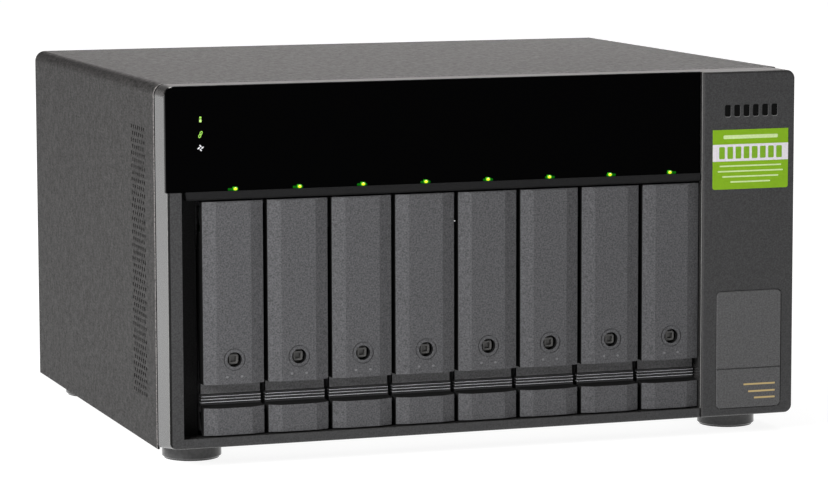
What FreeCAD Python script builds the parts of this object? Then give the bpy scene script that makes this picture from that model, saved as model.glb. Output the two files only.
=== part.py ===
import FreeCAD, Part
import math
import os

# Eight-bay disk shelf enclosure, millimetres.
# X runs to the right, Y to the back, Z up. The origin is on the ground, at the middle of the footprint.
# "Depth" is the distance behind the front plane, so that the front plane has depth 0.

# ---------------------------------------------------------------- driving dimensions
WIDTH = 329.3
LENGTH = 279.6
HEIGHT = 186.1
FOOT_HEIGHT = 10.6
BEZEL_DEPTH = 23.85
TRAY_COUNT = 8
TRAY_PITCH = 32.78
TRAY_WIDTH = 30.5
FIRST_TRAY_X = -131.45

# ---------------------------------------------------------------- derived outer limits
HALF = WIDTH / 2
FRONT_Y = -LENGTH / 2
TOP = HEIGHT
BOTTOM = FOOT_HEIGHT
LEFT_BEND = 5.5
RIGHT_BEND = 1.2

# Bezel outline, shared by the front frame and the right pillar
BEZEL_LOW_FRONT = 10.3
BEZEL_LOW_BACK = 8.2
LOW_CORNER_FRONT = 4.0
LOW_CORNER_BACK = 1.0
EDGE_RADIUS = 1.3
FACE_THICK = 1.6
GROOVE_WIDTH = 1.7
GROOVE_DEEP = 1.1

# Front frame, window and right pillar
WALL = 2.0
PILLAR_X = 113.9
PILLAR_TOP_RADIUS = 4.5
BAR_RIGHT = -157.7
SILL_TOP = 15.2
WINDOW_BOTTOM = 135.1
WINDOW_TOP = 185.8
WINDOW_DEPTH = 3.0
WINDOW_THICK = 2.2
WINDOW_RADIUS = 3.7
FLANGE_DEPTH = 13.0
FLANGE_THICK = 2.0
FLANGE_RIGHT = -147.4
STRIP_BOTTOM = 131.0
STRIP_LEFT = -155.0
STRIP_DEPTH = 1.6
STRIP_BACK = 6.2
STRIP_LAP = 0.5
LED_PITCH = 32.46
FIRST_LED_X = -130.1
LED_WIDTH = 2.4
LED_HEIGHT = 1.7
LED_CORNER = 0.7
LED_GAP = 0.1
STATUS_X = -147.2
STATUS_Z = (156.3, 162.8, 170.0)
STATUS_SIZE = 3.4
LED_BOARD_DEPTH = 9.0
LED_BOARD_X = (-156.0, 110.0)
LED_BOARD_TOP = 178.0
PILLAR_SKIN = 3.2
SEAM_BEVEL = 0.4

# Service plate and label on the pillar
PLATE_X = (122.1, 157.8)
PLATE_Z = (14.3, 74.4)
PLATE_PROUD = 0.3
PLATE_SEAT = 1.4
PLATE_RADIUS = 2.5
PLATE_GAP = 0.25
PLATE_SPLIT_Z = 34.6
SCRIBE_WIDTH = 0.5
SCRIBE_DEEP = 0.15
LABEL_X = (119.3, 160.9)
LABEL_Z = (126.5, 156.7)
LABEL_THICK = 0.15

# Drive trays, in heights above the ground and depths behind the front plane
TRAY_BOTTOM = 15.9
BLOCK_TOP = 30.0
BLOCK_BACK = 8.6
BLOCK_SLOPE = 1.0
HANDLE_BOTTOM = 40.8
HANDLE_TOP = 130.0
FACE_DEPTH = 2.0
EDGE_DEPTH = 3.7
FACE_HALF = 8.75
HANDLE_BACK = 11.2
HANDLE_TOP_BACK = 8.0
HANDLE_SKIN = 1.6
PIVOT_DEPTH = 7.6
PIVOT_Z = 112.0
TRUNNION_RADIUS = 1.5
RECESS_DEPTH = 12.0
CARRIER_HALF = 15.0
CARRIER_BOTTOM = 17.0
CARRIER_TOP = 128.5
CARRIER_BACK = 166.0
SIDE_THICK = 1.6
SIDE_WINDOW_STARTS = (38.0, 80.0, 122.0)
SIDE_WINDOW_LENGTH = 30.0
SIDE_WINDOW_Z = (42.0, 104.0)
RAIL_THICK = 2.0
RAIL_START = 19.5
DISK_BACK = 167.0
DISK_MIDDLE_Z = 72.75
TAB_TOP = 35.0
TAB_HALF = 15.1
TAB_TONGUE_HALF = 13.0
TAB_SHOULDER = 29.0
TAB_FRONT = 9.5
TONGUE_FRONT = 11.4
TAB_BACK = 12.9
CHEEK_FRONT = 8.0
CHEEK_TOP = 26.3
BROW_FRONT = 10.0
BROW_TOP = 40.3
LOCK_Z = 52.8
LOCK_BORE = 7.25
LOCK_RING = 10.9

# Sheet metal box
COVER_THICK = 1.0
COVER_BOTTOM = 7.0
SHEET = 1.2
PANEL_FRONT = 277.3
PANEL_BACK = 278.5
VENT_RADIUS = 1.1
VENT_PITCH_Y = 4.0
VENT_PITCH_Z = 3.29
VENT_FIRST_DEPTH = 43.8
VENT_TOP_Z = 162.2
VENT_ROWS = 41
VENT_COLUMNS = 7

# Inside
CAGE_LEFT = -149.9
CAGE_RIGHT = 115.9
CAGE_TOP = 132.2
CAGE_DEPTH = (24.2, 178.0)
GUIDE_DEPTH = (24.2, 168.0)
BACKPLANE_DEPTH = 176.0
BOARD_THICK = 1.6
SATA_LENGTH = 42.0
FAN_SIZE = 120.0
FAN_THICK = 25.0
FAN_BORE = 58.5
FAN_Z = 98.0
FAN_X = (-84.0, 38.0)
FAN_HOLE_PITCH = 105.0
ROTOR_DEPTH = (255.0, 274.0)
PSU_X = (119.0, 159.5)
PSU_HEIGHT = 81.5
PSU_DEPTH = 127.0
INLET_X = 139.2
INLET_Z = 34.0
CONTROL_X = 140.0
PORT_Z = 132.5
BUTTON_X = 148.0
BUTTON_Z = 160.0
SWITCH_Z = 147.0
FOOT_RADIUS = 14.7
FOOT_PAD_RADIUS = 13.6
FOOT_PAD_THICK = 0.4
FOOT_CHAMFER_TOP = 1.2
FOOT_X = 143.9
FOOT_DEPTHS = (37.0, 241.5)
SCREW_RADIUS = 1.5
SCREW_HEAD_RADIUS = 2.9
GRILLE_BACK = LENGTH + 0.3
GRILLE_WIRE = 1.6
GRILLE_RADII = (14.0, 23.0, 32.0, 41.0, 50.0, 58.0)


# ---------------------------------------------------------------- small solid makers
def vec(x, depth, z):
    return FreeCAD.Vector(x, FRONT_Y + depth, z)


def box(x0, x1, d0, d1, z0, z1):
    return Part.makeBox(x1 - x0, d1 - d0, z1 - z0, vec(x0, d0, z0))


def along_depth(x, z, radius, d0, d1):
    """Cylinder whose axis runs front to back."""
    return Part.makeCylinder(radius, d1 - d0, vec(x, d0, z), FreeCAD.Vector(0, 1, 0))


def along_x(depth, z, radius, x0, x1):
    return Part.makeCylinder(radius, x1 - x0, vec(x0, depth, z), FreeCAD.Vector(1, 0, 0))


def front_prism(points, d0, d1):
    """Prism of an outline drawn in X and Z, extruded from depth d0 to depth d1."""
    corners = [vec(x, d0, z) for x, z in points]
    face = Part.Face(Part.makePolygon(corners + corners[:1]))
    return face.extrude(FreeCAD.Vector(0, d1 - d0, 0))


def plan_prism(points, z0, z1):
    """Prism of an outline drawn in X and depth, extruded upward."""
    corners = [vec(x, d, z0) for x, d in points]
    face = Part.Face(Part.makePolygon(corners + corners[:1]))
    return face.extrude(FreeCAD.Vector(0, 0, z1 - z0))


def side_prism(points, x0, x1):
    """Prism of an outline drawn in depth and Z, extruded along X."""
    corners = [vec(x0, d, z) for d, z in points]
    face = Part.Face(Part.makePolygon(corners + corners[:1]))
    return face.extrude(FreeCAD.Vector(x1 - x0, 0, 0))


def rounded_wire(x0, x1, z0, z1, depth, radii):
    """Upright rectangle whose radii are given as bottom left, bottom right, top right, top left."""
    corners = [(x0, z0, 180), (x1, z0, 270), (x1, z1, 0), (x0, z1, 90)]
    inward = [(1, 1), (-1, 1), (-1, -1), (1, -1)]
    ends, arcs = [], []
    for (x, z, start), (sx, sz), radius in zip(corners, inward, radii):
        if radius == 0:
            ends.append((vec(x, depth, z), vec(x, depth, z)))
            arcs.append(None)
            continue
        cx, cz = x + sx * radius, z + sz * radius
        at = [math.radians(start + turn) for turn in (0, 45, 90)]
        first, middle, last = [vec(cx + radius * math.cos(a), depth, cz + radius * math.sin(a)) for a in at]
        ends.append((first, last))
        arcs.append(Part.Arc(first, middle, last).toShape())
    edges = []
    for i in range(4):
        if arcs[i]:
            edges.append(arcs[i])
        start, end = ends[i][1], ends[(i + 1) % 4][0]
        if start.distanceToPoint(end) > 1e-6:
            edges.append(Part.LineSegment(start, end).toShape())
    return Part.Wire(edges)


def rounded_slab(x0, x1, z0, z1, d0, d1, radii):
    outline = rounded_wire(x0, x1, z0, z1, d0, radii)
    return Part.Face(outline).extrude(FreeCAD.Vector(0, d1 - d0, 0))


def fuse(first, *others):
    return first.fuse(list(others)).removeSplitter()


def cut(solid, *tools):
    return solid.cut(list(tools))


def soften(solid, size, chosen):
    """Fillets the edges that the test chooses, where the test sees an edge's bounding box."""
    edges = [e for e in solid.Edges if chosen(e.BoundBox)]
    return solid.makeFillet(size, edges) if edges else solid


def flat(low, high):
    return high - low < 1e-6


def save(name, *solids):
    shape = solids[0] if len(solids) == 1 else Part.makeCompound(list(solids))
    for solid in shape.Solids:
        if not solid.isValid():
            raise ValueError(name + " holds an invalid solid")
    shape.exportStep("parts/" + name + ".step")
    bb = shape.BoundBox
    heights = f"z {bb.ZMin:.1f} to {bb.ZMax:.1f}"
    print(f"{name}: {len(shape.Solids)} solid(s), volume {shape.Volume:.0f}, {heights}")


# ---------------------------------------------------------------- outer shell
def side_wall(x0):
    """One side of the cover, up to the height of the bend, punched with staggered rows of round vents."""
    top = TOP - LEFT_BEND
    outline = [(BEZEL_DEPTH, COVER_BOTTOM), (LENGTH, COVER_BOTTOM), (LENGTH, top), (BEZEL_DEPTH, top)]
    corners = [vec(x0, depth, z) for depth, z in outline]
    wires = [Part.makePolygon(corners + corners[:1])]
    for row in range(VENT_ROWS):
        odd = row % 2
        for column in range(VENT_COLUMNS - odd):
            depth = VENT_FIRST_DEPTH + VENT_PITCH_Y * (column + odd / 2)
            centre = vec(x0, depth, VENT_TOP_Z - row * VENT_PITCH_Z)
            circle = Part.Circle(centre, FreeCAD.Vector(1, 0, 0), VENT_RADIUS)
            wires.append(Part.Wire(circle.toShape()))
    face = Part.makeFace(wires, "Part::FaceMakerBullseye")
    return face.extrude(FreeCAD.Vector(COVER_THICK, 0, 0))


def cover_bends(inset):
    """Bend radii of the cover's top corners, at its outer face or further in."""
    return (0, 0, max(RIGHT_BEND - inset, 0), max(LEFT_BEND - inset, 0))


def outer_cover():
    """Top and both sides bent from one sheet, with a wide bend at the left and a tight one at the right."""
    inside = HALF - COVER_THICK
    low = TOP - LEFT_BEND
    ceiling = TOP - COVER_THICK
    roof = rounded_slab(-HALF, HALF, low, TOP, BEZEL_DEPTH, LENGTH, cover_bends(0))
    hollow = rounded_slab(-inside, inside, low, ceiling, BEZEL_DEPTH, LENGTH, cover_bends(COVER_THICK))
    return fuse(cut(roof, hollow), side_wall(-HALF), side_wall(inside))


def chassis_base():
    """Floor pan with a low flange along each side."""
    edge = HALF - COVER_THICK - 0.15
    floor = box(-edge, edge, BEZEL_DEPTH, PANEL_FRONT, BOTTOM, BOTTOM + SHEET)
    flange_top = BOTTOM + 15
    left = box(-edge, -edge + SHEET, BEZEL_DEPTH, PANEL_FRONT, BOTTOM, flange_top)
    right = box(edge - SHEET, edge, BEZEL_DEPTH, PANEL_FRONT, BOTTOM, flange_top)
    return fuse(floor, left, right)


def rear_panel():
    """Sheet that closes the back, cut for the fans, inlet, port, button, switch, lock slot and air."""
    edge = HALF - COVER_THICK - 0.15
    low, high = BOTTOM + SHEET, TOP - COVER_THICK - 0.15
    panel = rounded_slab(-edge, edge, low, high, PANEL_FRONT, PANEL_BACK, cover_bends(COVER_THICK))
    through = (PANEL_FRONT - 1, PANEL_BACK + 1)
    tools = [along_depth(x, FAN_Z, FAN_BORE - 1.5, *through) for x in FAN_X]
    for x, z in screw_places():
        tools.append(along_depth(x, z, SCREW_RADIUS + 0.2, *through))
    tools.append(box(INLET_X - 16.3, INLET_X + 16.3, *through, INLET_Z - 13.3, INLET_Z + 13.3))
    tools.append(box(CONTROL_X + 1.3, CONTROL_X + 5.4, *through, PORT_Z - 4.9, PORT_Z + 4.9))
    tools.append(along_depth(BUTTON_X, BUTTON_Z, 4.1, *through))
    tools.append(box(BUTTON_X - 1.5, BUTTON_X + 1.5, *through, SWITCH_Z - 4.2, SWITCH_Z + 4.2))
    tools.append(rounded_slab(147.5, 154.5, 106.0, 109.0, *through, (1.4, 1.4, 1.4, 1.4)))
    for row in range(7):
        z = 55.0 + row * 5.0
        tools.append(rounded_slab(INLET_X - 14, INLET_X + 14, z, z + 2.4, *through, (1.1, 1.1, 1.1, 1.1)))
    return cut(panel, *tools)


def rubber_feet():
    """Four turned feet: each is a wide cylinder, chamfered to a slightly narrower pad on the ground."""
    feet = []
    for x in (-FOOT_X, FOOT_X):
        for depth in FOOT_DEPTHS:
            pad = Part.makeCylinder(FOOT_PAD_RADIUS, FOOT_PAD_THICK, vec(x, depth, 0))
            rise = FOOT_CHAMFER_TOP - FOOT_PAD_THICK
            chamfer = Part.makeCone(FOOT_PAD_RADIUS, FOOT_RADIUS, rise, vec(x, depth, FOOT_PAD_THICK))
            height = BOTTOM - FOOT_CHAMFER_TOP
            wall = Part.makeCylinder(FOOT_RADIUS, height, vec(x, depth, FOOT_CHAMFER_TOP))
            feet.append(fuse(wall, chamfer, pad))
    return feet


# ---------------------------------------------------------------- bezel
def bezel_block(x0, x1, low_front, low_back, high):
    """Solid bezel between two upright planes.

    Its front edges are rounded, its underside falls a little toward the back, and a shallow groove parts it
    from the cover. The low radii are those at the left and right, and the high ones at the right and left.
    """
    groove = BEZEL_DEPTH - GROOVE_WIDTH
    face = rounded_slab(x0, x1, BEZEL_LOW_FRONT, TOP, 0, FACE_THICK, low_front + high)
    face = soften(face, EDGE_RADIUS, lambda bb: flat(bb.YMin, bb.YMax) and flat(FRONT_Y, bb.YMax))
    front = rounded_wire(x0, x1, BEZEL_LOW_FRONT, TOP, FACE_THICK, low_front + high)
    back = rounded_wire(x0, x1, BEZEL_LOW_BACK, TOP, groove, low_back + high)
    sides = Part.makeLoft([front, back], True, True)
    tongue_left = x0 + (GROOVE_DEEP if flat(x0, -HALF) else 0)
    tongue_right = x1 - (GROOVE_DEEP if flat(x1, HALF) else 0)
    low, top = BEZEL_LOW_BACK + GROOVE_DEEP, TOP - GROOVE_DEEP
    corners = (0, 0) + tuple(max(radius - GROOVE_DEEP, 0) for radius in high)
    tongue = rounded_slab(tongue_left, tongue_right, low, top, groove - 1, BEZEL_DEPTH, corners)
    around_foot = FOOT_RADIUS + 0.4
    notches = [Part.makeCylinder(around_foot, BOTTOM, vec(x, FOOT_DEPTHS[0], 0)) for x in (-FOOT_X, FOOT_X)]
    return cut(fuse(face, sides, tongue), *notches)


def front_frame():
    """Moulded bezel left of the pillar: bar, sill, roof and the dark return beside the first tray."""
    block = bezel_block(-HALF, PILLAR_X, (LOW_CORNER_FRONT, 0), (LOW_CORNER_BACK, 0), (0, LEFT_BEND))
    window_back = WINDOW_DEPTH + WINDOW_THICK
    flange_back = FLANGE_DEPTH + FLANGE_THICK
    beyond = PILLAR_X + 1
    inner_left, inner_top = -HALF + WALL, TOP - WALL
    corner = LEFT_BEND - WALL
    window_seat = box(-HALF - 1, beyond, -1, window_back, WINDOW_BOTTOM, TOP + 1)
    bay_mouth = box(BAR_RIGHT, beyond, -1, FLANGE_DEPTH, SILL_TOP, WINDOW_BOTTOM)
    floor, beam_low = BOTTOM + WALL, STRIP_BOTTOM + STRIP_LAP
    bay_throat = box(FLANGE_RIGHT, beyond, FLANGE_DEPTH - 1, BEZEL_DEPTH + 1, SILL_TOP, beam_low)
    back_room = rounded_slab(
        inner_left, beyond, floor, inner_top, flange_back, BEZEL_DEPTH + 1, (1.0, 0, 0, corner)
    )
    lamp_room = rounded_slab(
        inner_left, beyond, WINDOW_BOTTOM, inner_top, window_back - 1, flange_back + 1, (0, 0, 0, corner)
    )
    bar_core = box(inner_left, BAR_RIGHT - WALL, WALL, flange_back + 1, floor, WINDOW_BOTTOM - WALL)
    frame = cut(block, window_seat, bay_mouth, bay_throat, back_room, lamp_room, bar_core)
    beam = box(BAR_RIGHT, PILLAR_X, STRIP_BACK, flange_back, beam_low, WINDOW_BOTTOM)
    return fuse(frame, beam)


def front_window():
    """Glossy black plate across the top, notched at its lower edge for the eight drive lamps."""
    front, back, low = WINDOW_DEPTH, WINDOW_DEPTH + WINDOW_THICK, WINDOW_BOTTOM
    plate = rounded_slab(-HALF, PILLAR_X - 0.2, low, WINDOW_TOP, front, back, (0, 0, 0, WINDOW_RADIUS))
    half = LED_WIDTH / 2 + LED_GAP
    top = low + LED_HEIGHT + 2 * LED_GAP
    notches = [box(x - half, x + half, front - 1, back + 1, low - 1, top) for x in lamp_places()]
    return cut(plate, *notches)


def lamp_places():
    return [FIRST_LED_X + i * LED_PITCH for i in range(TRAY_COUNT)]


def indicator_lenses():
    """Eight drive light pipes under the window and three status pipes behind it."""
    lenses = []
    low = WINDOW_BOTTOM + LED_GAP
    half = LED_WIDTH / 2
    for x in lamp_places():
        lens = box(x - half, x + half, WINDOW_DEPTH - 0.4, LED_BOARD_DEPTH, low, low + LED_HEIGHT)
        lenses.append(soften(lens, LED_CORNER, lambda bb: bb.YMax - bb.YMin > 3))
    half = STATUS_SIZE / 2
    for z in STATUS_Z:
        behind = WINDOW_DEPTH + WINDOW_THICK
        lenses.append(box(STATUS_X - half, STATUS_X + half, behind, LED_BOARD_DEPTH, z - half, z + half))
    return lenses


def window_strip():
    """Matt strip between the window and the trays, with a chamfered lower lip."""
    lip = 0.9
    outline = [
        (STRIP_DEPTH, WINDOW_BOTTOM),
        (STRIP_DEPTH, STRIP_BOTTOM + lip),
        (STRIP_DEPTH + lip, STRIP_BOTTOM),
        (STRIP_BACK, STRIP_BOTTOM),
        (STRIP_BACK, WINDOW_BOTTOM),
    ]
    return side_prism(outline, STRIP_LEFT, PILLAR_X - 0.4)


def led_board():
    back = LED_BOARD_DEPTH + BOARD_THICK
    return box(*LED_BOARD_X, LED_BOARD_DEPTH, back, WINDOW_BOTTOM, LED_BOARD_TOP)


def right_pillar():
    """Hollow moulding at the right, with a shallow seat for the service plate."""
    high = (PILLAR_TOP_RADIUS, 0)
    block = bezel_block(PILLAR_X, HALF, (0, LOW_CORNER_FRONT), (0, LOW_CORNER_BACK), high)
    core = rounded_slab(
        PILLAR_X + WALL,
        HALF - WALL,
        BOTTOM + WALL,
        TOP - WALL,
        PILLAR_SKIN,
        BEZEL_DEPTH + 1,
        (0, 1.0, PILLAR_TOP_RADIUS - WALL, 0),
    )
    (left, right), (low, top) = PLATE_X, PLATE_Z
    gap, corner = PLATE_GAP, PLATE_RADIUS + PLATE_GAP
    seat = rounded_slab(left - gap, right + gap, low - gap, top + gap, -1, PLATE_SEAT, (corner,) * 4)
    bevel = SEAM_BEVEL
    seam = plan_prism([(PILLAR_X, 0), (PILLAR_X + bevel, 0), (PILLAR_X, bevel)], 0, TOP + 1)
    return cut(block, core, seat, seam)


def pillar_plate():
    """Service plate in two visible fields, parted by a scribed line."""
    plate = rounded_slab(*PLATE_X, *PLATE_Z, -PLATE_PROUD, PLATE_SEAT, (PLATE_RADIUS,) * 4)
    plate = soften(plate, 0.4, lambda bb: flat(bb.YMin, bb.YMax) and bb.YMax < FRONT_Y)
    (left, right), half = PLATE_X, SCRIBE_WIDTH / 2
    scribe = box(left - 1, right + 1, -1, SCRIBE_DEEP, PLATE_SPLIT_Z - half, PLATE_SPLIT_Z + half)
    return cut(plate, scribe)


def pillar_label():
    low_corner = 1.2
    return rounded_slab(*LABEL_X, *LABEL_Z, -LABEL_THICK, 0, (low_corner, low_corner, 0, 0))


# ---------------------------------------------------------------- drive trays
def faceted(x, z0, z1, back):
    """Front moulding with a flat middle and two shallow slanted flanks."""
    half = TRAY_WIDTH / 2
    outline = [
        (x - half, EDGE_DEPTH),
        (x - FACE_HALF, FACE_DEPTH),
        (x + FACE_HALF, FACE_DEPTH),
        (x + half, EDGE_DEPTH),
        (x + half, back),
        (x - half, back),
    ]
    return plan_prism(outline, z0, z1)


def tray_handle(x):
    """Tall front lever. It turns about two trunnions near its top, and its foot swings out."""
    half = TRAY_WIDTH / 2
    body = faceted(x, HANDLE_BOTTOM, HANDLE_TOP, HANDLE_BACK)
    chamfer = 0.6
    lip = side_prism(
        [
            (FACE_DEPTH - 1, HANDLE_TOP - chamfer - 1),
            (FACE_DEPTH + chamfer + 1, HANDLE_TOP + 1),
            (FACE_DEPTH - 1, HANDLE_TOP + 1),
        ],
        x - half - 1,
        x + half + 1,
    )
    heel = box(x - half - 1, x + half + 1, HANDLE_TOP_BACK, HANDLE_BACK + 1, PIVOT_Z + 2.8, HANDLE_TOP + 1)
    inner = half - HANDLE_SKIN
    core_front = EDGE_DEPTH + 0.9
    core_low, core_top = HANDLE_BOTTOM + HANDLE_SKIN, HANDLE_TOP - HANDLE_SKIN
    core = box(x - inner, x + inner, core_front, HANDLE_BACK + 1, core_low, core_top)
    boss = along_depth(x, LOCK_Z, LOCK_RING / 2 + 0.6, core_front - 0.5, 9.0)
    ribs = [box(x - inner, x + inner, core_front - 0.2, 8.0, z, z + 1.2) for z in (66.0, 84.0)]
    trunnions = [
        along_x(PIVOT_DEPTH, PIVOT_Z, TRUNNION_RADIUS, x - inner - 0.2, x - inner + 2.2),
        along_x(PIVOT_DEPTH, PIVOT_Z, TRUNNION_RADIUS, x + inner - 2.2, x + inner + 0.2),
    ]
    handle = fuse(cut(body, lip, heel, core), boss, *ribs, *trunnions)
    bore = along_depth(x, LOCK_Z, LOCK_BORE / 2, 0, HANDLE_BACK + 1)
    ring_outer = along_depth(x, LOCK_Z, LOCK_RING / 2, FACE_DEPTH - 1, FACE_DEPTH + 0.4)
    ring_inner = along_depth(x, LOCK_Z, LOCK_RING / 2 - 0.35, FACE_DEPTH - 1, FACE_DEPTH + 0.4)
    return cut(handle, bore, ring_outer.cut(ring_inner))


def tray_carrier(x):
    """Tray body: lower front block, recess wall, ears for the handle, side plate and two rails."""
    wall = 2.0
    half, lower_wall = CARRIER_HALF, RECESS_DEPTH + 1.7
    block = faceted(x, TRAY_BOTTOM, BLOCK_TOP, BLOCK_BACK)
    near, above = FACE_DEPTH - 1, BLOCK_TOP + 1
    slope = side_prism(
        [(near, BLOCK_TOP - BLOCK_SLOPE), (BLOCK_BACK, BLOCK_TOP), (BLOCK_BACK, above), (near, above)],
        x - half - 1,
        x + half + 1,
    )
    pocket = box(x - 13.4, x + 13.4, 5.6, 11.0, TRAY_BOTTOM + 1.6, BLOCK_TOP - 3.0)
    cheeks = [
        box(x - half, x - 13.4, CHEEK_FRONT, lower_wall + wall, CARRIER_BOTTOM, CHEEK_TOP),
        box(x + 13.4, x + half, CHEEK_FRONT, lower_wall + wall, CARRIER_BOTTOM, CHEEK_TOP),
    ]
    low_front = box(x - half, x + half, lower_wall, lower_wall + wall, CARRIER_BOTTOM, TAB_TOP + 2.0)
    high_front = box(x - half, x + half, RECESS_DEPTH, RECESS_DEPTH + wall, TAB_TOP + 0.3, 107.0)
    brow = box(x - half, x + half, BROW_FRONT, RECESS_DEPTH + 0.5, TAB_TOP + 0.3, BROW_TOP)
    side_left, side_right = x - half, x - half + SIDE_THICK
    side = box(side_left, side_right, RECESS_DEPTH + 1, CARRIER_BACK, CARRIER_BOTTOM, CARRIER_TOP)
    side_relief = box(x - half - 1, x + half, 0, RAIL_START, 106.0, CARRIER_TOP + 1)
    across = (side_left - 1, side_right + 1)
    windows = [
        rounded_slab_x(*across, start, start + SIDE_WINDOW_LENGTH, *SIDE_WINDOW_Z, 5.0)
        for start in SIDE_WINDOW_STARTS
    ]
    screw_holes = [
        along_x(DISK_BACK - 41.28 - 44.45 * i, DISK_MIDDLE_Z + sz * 95.25 / 2, 1.75, x - half - 1, x)
        for i in (0, 1)
        for sz in (-1, 1)
    ]
    rail_right = x + 12.6
    top_rail = box(x - half, rail_right, RAIL_START, CARRIER_BACK, CARRIER_TOP - RAIL_THICK, CARRIER_TOP)
    low_top = CARRIER_BOTTOM + RAIL_THICK
    low_rail = box(x - half, rail_right, lower_wall, CARRIER_BACK, CARRIER_BOTTOM, low_top)
    ears = [handle_ear(x - 13.2), handle_ear(x + 11.6)]
    front = fuse(cut(block, slope, pocket), *cheeks, low_front, high_front, brow)
    plate = cut(side, side_relief, *windows, *screw_holes)
    return fuse(front, plate, top_rail, low_rail, *ears)


def rounded_slab_x(x0, x1, d0, d1, z0, z1, radius):
    """Slab that faces sideways, with four equal corners."""
    slab = box(x0, x1, d0, d1, z0, z1)
    return soften(slab, radius, lambda bb: flat(bb.YMin, bb.YMax) and flat(bb.ZMin, bb.ZMax))


def handle_ear(x0):
    """Arm that reaches forward from the recess wall and carries one trunnion."""
    thick = 1.6
    arm = side_prism(
        [
            (RECESS_DEPTH + 1, 98.0),
            (RECESS_DEPTH + 1, 107.0),
            (PIVOT_DEPTH + 1.8, PIVOT_Z + 1.4),
            (PIVOT_DEPTH - 1.8, PIVOT_Z - 1.4),
        ],
        x0,
        x0 + thick,
    )
    eye = along_x(PIVOT_DEPTH, PIVOT_Z, 2.5, x0, x0 + thick)
    bore = along_x(PIVOT_DEPTH, PIVOT_Z, TRUNNION_RADIUS + 0.1, x0 - 1, x0 + thick + 1)
    return cut(fuse(arm, eye), bore)


def release_tab(x):
    """Ridged thumb tab as wide as the tray, at the back of the finger recess.

    It slides down to free the handle, on a narrower tongue between the carrier's cheeks.
    """
    tongue = box(x - TAB_TONGUE_HALF, x + TAB_TONGUE_HALF, TONGUE_FRONT, TAB_BACK, 20.0, TAB_SHOULDER)
    plate = box(x - TAB_HALF, x + TAB_HALF, TAB_FRONT, TAB_BACK, TAB_SHOULDER, TAB_TOP)
    root = TAB_FRONT + 0.1
    ridges = []
    for i in range(3):
        z = TAB_TOP - 0.9 - 1.45 * i
        profile = [(root, z + 0.75), (root - 0.7, z), (root, z - 0.55)]
        ridges.append(side_prism(profile, x - TAB_HALF, x + TAB_HALF))
    return fuse(tongue, plate, *ridges)


def tray_lock(x):
    """Key lock: a round disc with a rounded square post and key well, and a small cam behind."""
    disc = along_depth(x, LOCK_Z, LOCK_BORE / 2 - 0.2, 6.2, 9.0)
    post_half = 2.3
    post = rounded_slab(
        x - post_half, x + post_half, LOCK_Z - post_half, LOCK_Z + post_half, 4.0, 6.4, (0.9,) * 4
    )
    well = rounded_slab(x - 1.4, x + 1.4, LOCK_Z - 1.4, LOCK_Z + 1.4, 3.0, 5.6, (0.3,) * 4)
    stem = along_depth(x, LOCK_Z, 1.6, 8.8, 11.0)
    cam = box(x - 1.4, x + 1.4, 10.0, 11.0, LOCK_Z - 5.4, LOCK_Z + 1.4)
    return cut(fuse(disc, post, stem, cam), well)


# ---------------------------------------------------------------- cage, boards and power
def bay_centres():
    return [FIRST_TRAY_X + i * TRAY_PITCH for i in range(TRAY_COUNT)]


def drive_cage():
    """Inverted U of sheet that stands on the floor pan and holds the guides and the backplane."""
    floor_top = BOTTOM + SHEET
    d0, d1 = CAGE_DEPTH
    roof = box(CAGE_LEFT, CAGE_RIGHT, d0, d1, CAGE_TOP - 1, CAGE_TOP)
    left = box(CAGE_LEFT, CAGE_LEFT + 1, d0, d1, floor_top, CAGE_TOP)
    right = box(CAGE_RIGHT - 1, CAGE_RIGHT, d0, d1, floor_top, CAGE_TOP)
    left_foot = box(CAGE_LEFT - 8, CAGE_LEFT + 1, d0, d1, floor_top, floor_top + 1)
    return fuse(roof, left, right, left_foot)


def bay_guides():
    """Lower and upper guide plates, each with a rib between neighbouring trays."""
    x0, x1 = CAGE_LEFT + 1, CAGE_RIGHT - 1
    d0, d1 = GUIDE_DEPTH
    floor_top = BOTTOM + SHEET
    lower = [box(x0, x1, d0, d1, floor_top, 13.6)]
    upper = [box(x0, x1, d0, d1, 129.2, CAGE_TOP - 1)]
    rib = 0.6
    for i in range(TRAY_COUNT + 1):
        x = FIRST_TRAY_X + (i - 0.5) * TRAY_PITCH
        x = min(max(x, x0 + rib), x1 - rib)
        lower.append(box(x - rib, x + rib, d0, d1, 13.5, 19.0))
        upper.append(box(x - rib, x + rib, d0, d1, 126.5, 129.3))
    for x in bay_centres():
        for side in (-9.0, 6.0):
            lower.append(box(x + side, x + side + 3.0, d0, d1, 13.5, CARRIER_BOTTOM - 0.3))
    return [fuse(*lower), fuse(*upper)]


def backplane_board():
    """Circuit board behind the bays, slotted above and below each connector for cooling air."""
    board = box(-147.0, 113.0, BACKPLANE_DEPTH, BACKPLANE_DEPTH + BOARD_THICK, 14.0, 131.2)
    slots = []
    for i in range(TRAY_COUNT - 1):
        x = FIRST_TRAY_X + (i + 0.5) * TRAY_PITCH
        slots.append(
            rounded_slab(x - 6, x + 6, 24.0, 120.0, BACKPLANE_DEPTH - 1, BACKPLANE_DEPTH + 3, (3.0,) * 4)
        )
    return cut(board, *slots)


def sata_connectors():
    """Upright drive connectors, one behind each bay, with the tongue slot open to the front."""
    connectors = []
    for x in bay_centres():
        cx = x - 8.0
        low = 62.0
        body = box(cx - 3.0, cx + 3.0, 168.6, BACKPLANE_DEPTH, low, low + SATA_LENGTH)
        slot = box(cx - 0.8, cx + 1.6, 168.0, 174.0, low + 2.0, low + SATA_LENGTH - 2.0)
        tongue = box(cx - 0.8, cx + 0.4, 169.6, 174.5, low + 3.2, low + SATA_LENGTH - 3.2)
        connectors.append(fuse(cut(body, slot), tongue))
    return connectors


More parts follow.
